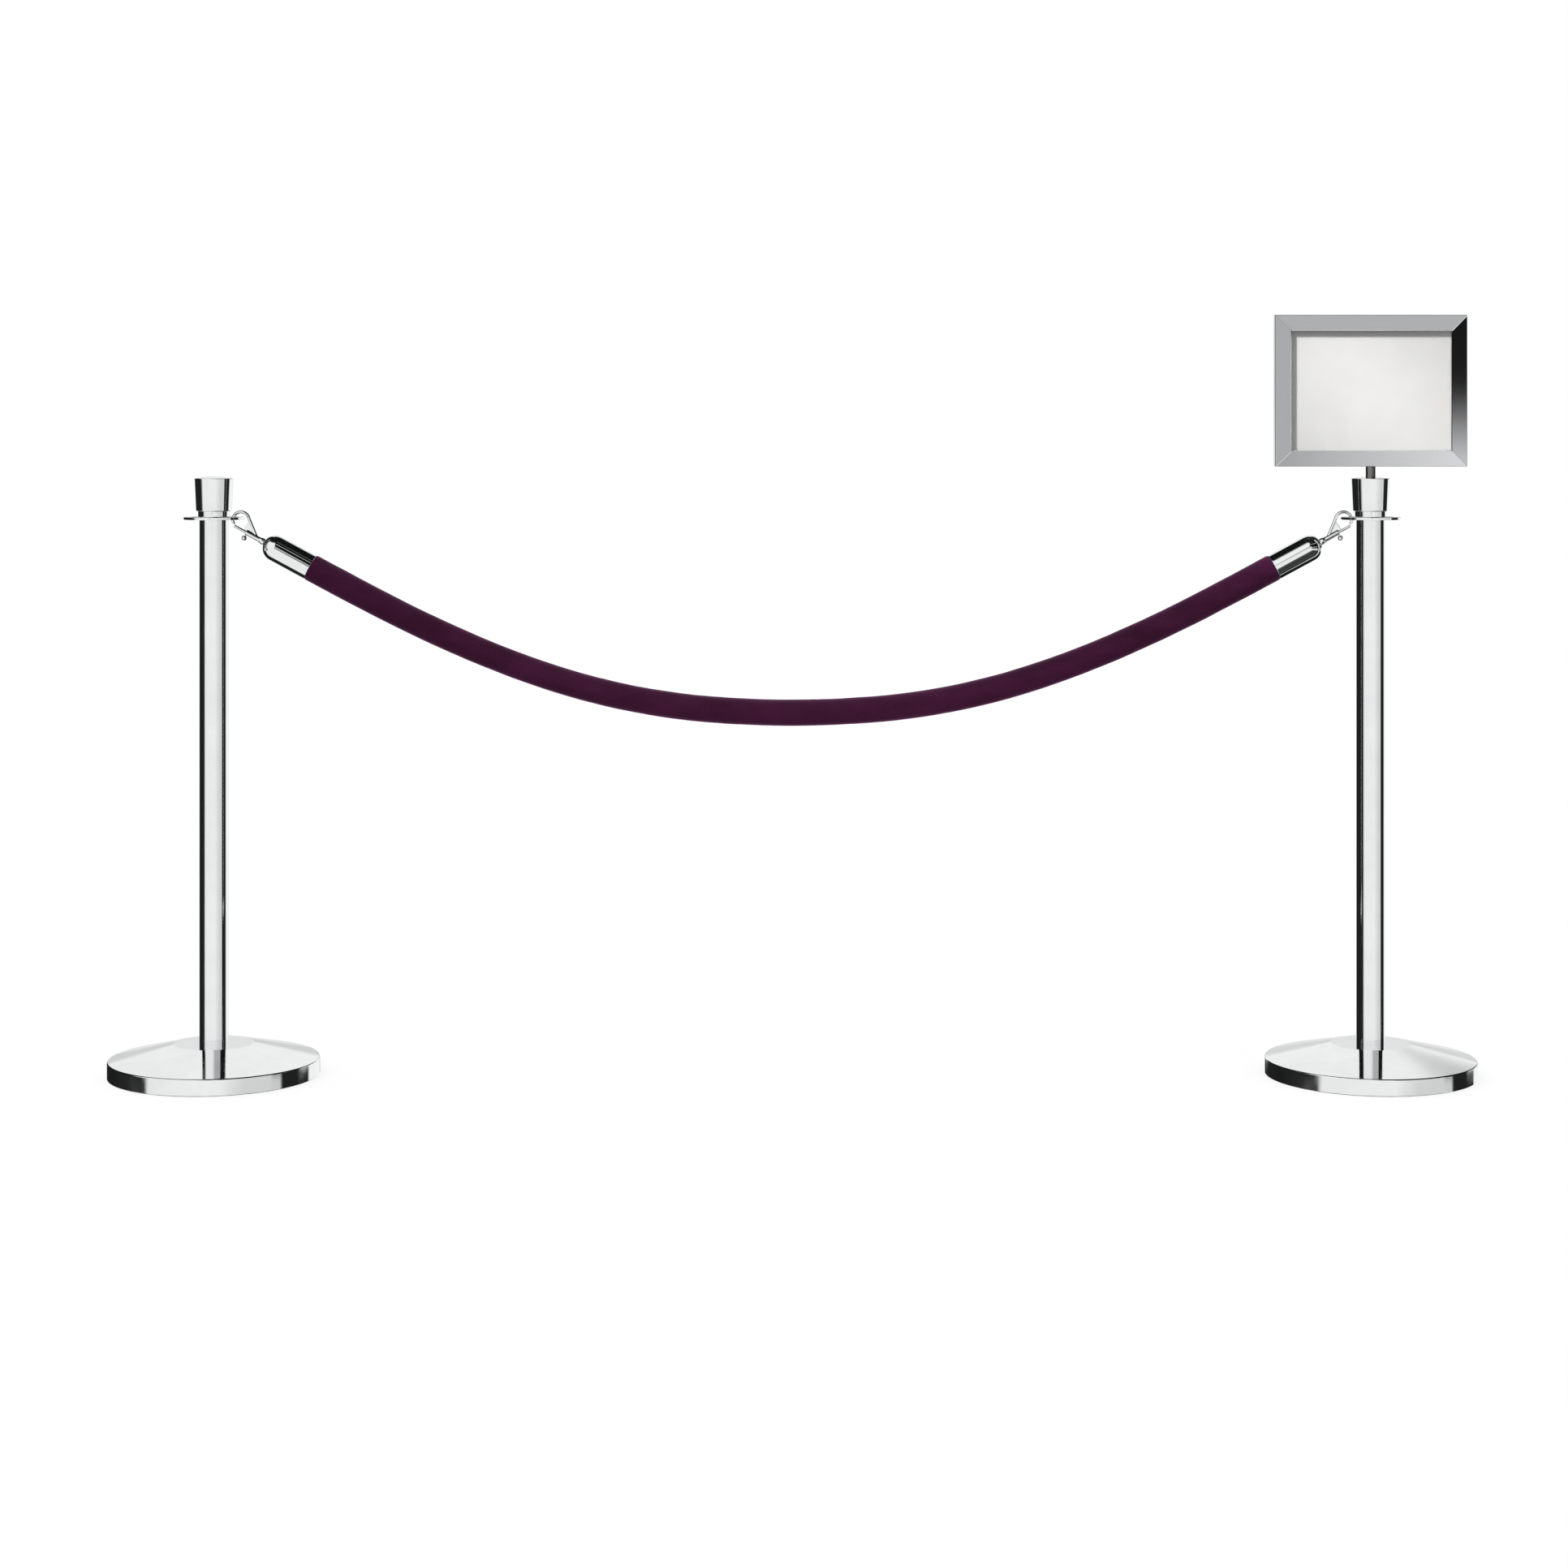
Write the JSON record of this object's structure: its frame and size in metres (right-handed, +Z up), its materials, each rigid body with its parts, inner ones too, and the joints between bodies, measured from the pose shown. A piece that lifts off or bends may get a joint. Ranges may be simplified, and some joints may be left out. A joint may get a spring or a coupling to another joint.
{
  "type": "velvet barrier rope",
  "caption": "Two weighted chrome rope posts joined by a sagging velvet rope on snap hooks, with a framed landscape sign standing on the right-hand post.",
  "frame": {"origin": "on the floor, midway between the two posts' axes", "axes": "+X along the barrier towards the post with the sign, the sign faces -Y, +Z up"},
  "size_m": [2.19, 0.336, 1.2185],
  "materials": {
    "chrome": "mirror polished",
    "satin_frame": "satin anodised",
    "brushed_stem": "brushed",
    "steel": "zinc plated",
    "cast_iron": "black painted, rough",
    "rubber": "matte",
    "velvet": "short deep-plum pile",
    "cotton": "unbleached",
    "clear_window": "clear acrylic",
    "paper": "uncoated white card"
  },
  "bodies": {
    "posts": {"left_floor_ring": "rubber", "left_base_cover": "chrome", "left_base_weight": "cast_iron", "left_base_washer": "steel", "left_base_bolt": "steel", "left_tube_plug_lower": "steel", "left_post_tube": "chrome", "left_tube_plug_upper": "steel", "left_rope_ring": "chrome", "left_neck_collar": "chrome", "left_post_head": "chrome", "left_head_stud": "steel", "right_floor_ring": "rubber", "right_base_cover": "chrome", "right_base_weight": "cast_iron", "right_base_washer": "steel", "right_base_bolt": "steel", "right_tube_plug_lower": "steel", "right_post_tube": "chrome", "right_tube_plug_upper": "steel", "right_rope_ring": "chrome", "right_neck_collar": "chrome", "right_post_head": "chrome", "right_head_stud": "steel", "sign_set_screw": "steel"},
    "sign": {"sign_stem": "brushed_stem", "sign_rail_top": "satin_frame", "sign_rail_bottom": "satin_frame", "sign_rail_left": "satin_frame", "sign_rail_right": "satin_frame"},
    "sign_insert": {"sign_front_window": "clear_window", "sign_paper": "paper", "sign_back_window": "clear_window"},
    "rope": {"velvet_sleeve": "velvet", "rope_core": "cotton", "left_end_cap": "chrome", "left_cap_screw": "steel", "right_end_cap": "chrome", "right_cap_screw": "steel"},
    "left_hook": {"left_hook_body": "chrome", "left_swivel_rivet": "steel", "left_swivel_washer": "steel", "left_hook_spring": "steel"},
    "left_latch": {"left_hook_latch": "chrome"},
    "right_hook": {"right_hook_body": "chrome", "right_swivel_rivet": "steel", "right_swivel_washer": "steel", "right_hook_spring": "steel"},
    "right_latch": {"right_hook_latch": "chrome"}
  },
  "joints": [
    {"name": "sign_turn", "type": "hinge", "parent": "posts", "child": "sign", "pos_m": [0.927, 0, 0.944], "axis": [0, 0, 1], "continuous": true},
    {"name": "sign_insert_lift", "type": "slide", "parent": "sign", "child": "sign_insert", "axis": [0, 0, 1], "range_m": [0, 0.2]},
    {"name": "rope_swing", "type": "hinge", "parent": "posts", "child": "rope", "pos_m": [0, 0, 0.8945], "axis": [1, 0, 0], "range_deg": [-35, 35]},
    {"name": "left_hook_swivel", "type": "hinge", "parent": "rope", "child": "left_hook", "pos_m": [-0.84558, 0, 0.85385], "axis": [-0.8788, 0, 0.4772], "range_deg": [-10, 10]},
    {"name": "left_latch_slide", "type": "slide", "parent": "left_hook", "child": "left_latch", "axis": [0.8788, 0, -0.4772], "range_m": [0, 0.012], "stiffness_N_per_m": 400, "springref_m": -0.01, "deforming": ["left_hook_spring"]},
    {"name": "right_hook_swivel", "type": "hinge", "parent": "rope", "child": "right_hook", "pos_m": [0.84558, 0, 0.85385], "axis": [-0.8788, 0, -0.4772], "range_deg": [-10, 10]},
    {"name": "right_latch_slide", "type": "slide", "parent": "right_hook", "child": "right_latch", "axis": [-0.8788, 0, -0.4772], "range_m": [0, 0.012], "stiffness_N_per_m": 400, "springref_m": -0.01, "deforming": ["right_hook_spring"]}
  ]
}
